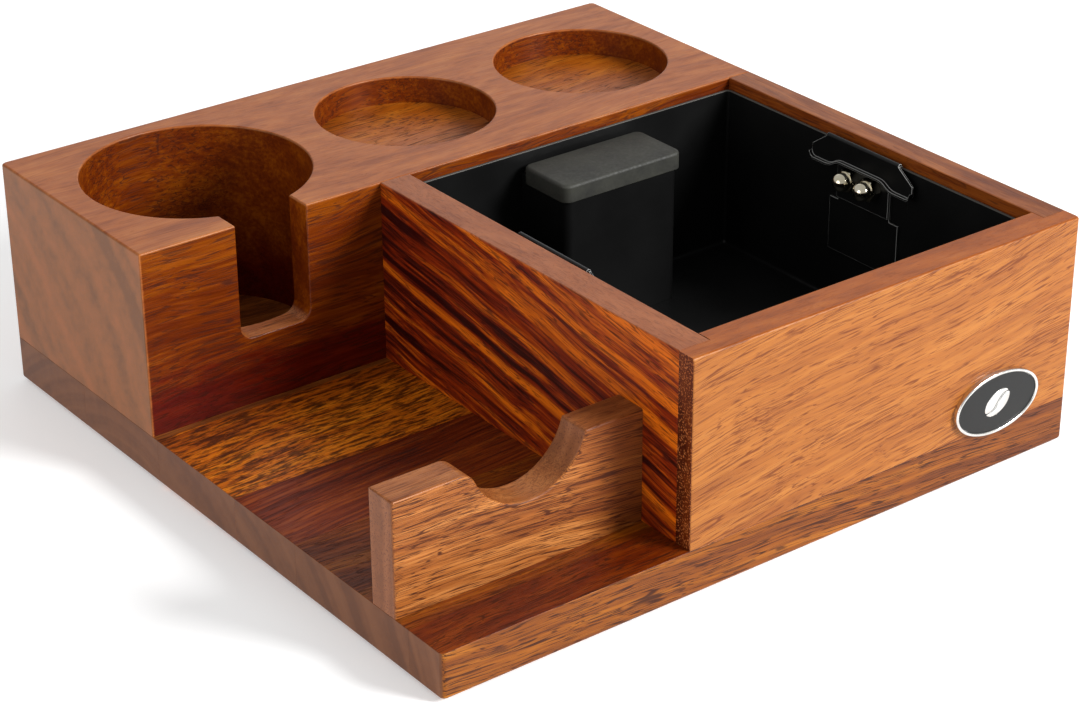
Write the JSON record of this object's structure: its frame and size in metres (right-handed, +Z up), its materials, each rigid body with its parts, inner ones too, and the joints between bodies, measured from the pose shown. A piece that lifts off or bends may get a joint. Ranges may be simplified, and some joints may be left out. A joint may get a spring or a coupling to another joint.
{
  "type": "espresso knock box station",
  "caption": "Wooden espresso station: portafilter well with a handle slot and cradle, two tamper seats, and a lift-out black steel knock box with a rubber-capped knock post.",
  "frame": {"origin": "middle of the station's box, on the surface it stands on", "axes": "+X along the front board to the right, +Y from the badge to the back, +Z up"},
  "size_m": [0.24, 0.2418, 0.0779],
  "materials": {
    "base_wood": "oiled satin, medium to dark brown, edge-glued staves",
    "base_wood_gold": "oiled satin, mottled golden brown",
    "block_wood": "oiled satin, pinkish brown top, orange brown front",
    "divider_wood": "oiled satin, bold dark and orange diagonal stripes",
    "board_wood": "oiled satin, light orange brown with fine dark pores",
    "cradle_wood": "oiled satin, orange pink with fine dark lines",
    "dowel_wood": "plain beech, unfinished",
    "black_steel": "satin black powder coat",
    "cap_rubber": "matte dark grey",
    "chrome_nut": "polished",
    "zinc_steel": "bright zinc",
    "badge_metal": "bright nickel",
    "badge_black": "semi-gloss black enamel",
    "pad_rubber": "matte black"
  },
  "bodies": {
    "station": {"base_plank_1": "base_wood", "base_plank_2": "base_wood", "base_plank_3": "base_wood", "base_plank_4": "base_wood_gold", "base_plank_5": "base_wood", "base_plank_6": "base_wood", "rear_block": "block_wood", "divider_board": "divider_wood", "right_board": "board_wood", "front_board": "board_wood", "handle_cradle": "cradle_wood", "divider_dowel_lower": "dowel_wood", "divider_dowel_upper": "dowel_wood", "right_dowel_lower": "dowel_wood", "right_dowel_upper": "dowel_wood", "cradle_screw_left": "zinc_steel", "cradle_screw_right": "zinc_steel", "divider_screw_front": "zinc_steel", "divider_screw_back": "zinc_steel", "right_screw_front": "zinc_steel", "right_screw_back": "zinc_steel", "front_screw_left": "zinc_steel", "front_screw_right": "zinc_steel", "badge_rim": "badge_metal", "badge_plate": "badge_black", "pad_front_left": "pad_rubber", "pad_front_right": "pad_rubber", "pad_back_left": "pad_rubber", "pad_back_right": "pad_rubber"},
    "knock_box": {"tray_shell": "black_steel", "knock_post": "black_steel", "knock_cap": "cap_rubber", "right_handle_spacer": "black_steel", "left_handle_spacer": "black_steel", "right_lift_handle": "black_steel", "left_lift_handle": "black_steel", "right_stud_front": "zinc_steel", "right_stud_back": "zinc_steel", "left_stud_front": "zinc_steel", "left_stud_back": "zinc_steel", "right_cap_nut_front": "chrome_nut", "right_cap_nut_back": "chrome_nut", "left_cap_nut_front": "chrome_nut", "left_cap_nut_back": "chrome_nut"}
  },
  "joints": [
    {"name": "tray_lift", "type": "slide", "parent": "station", "child": "knock_box", "axis": [0, 0, 1], "range_m": [0, 0.08]}
  ]
}
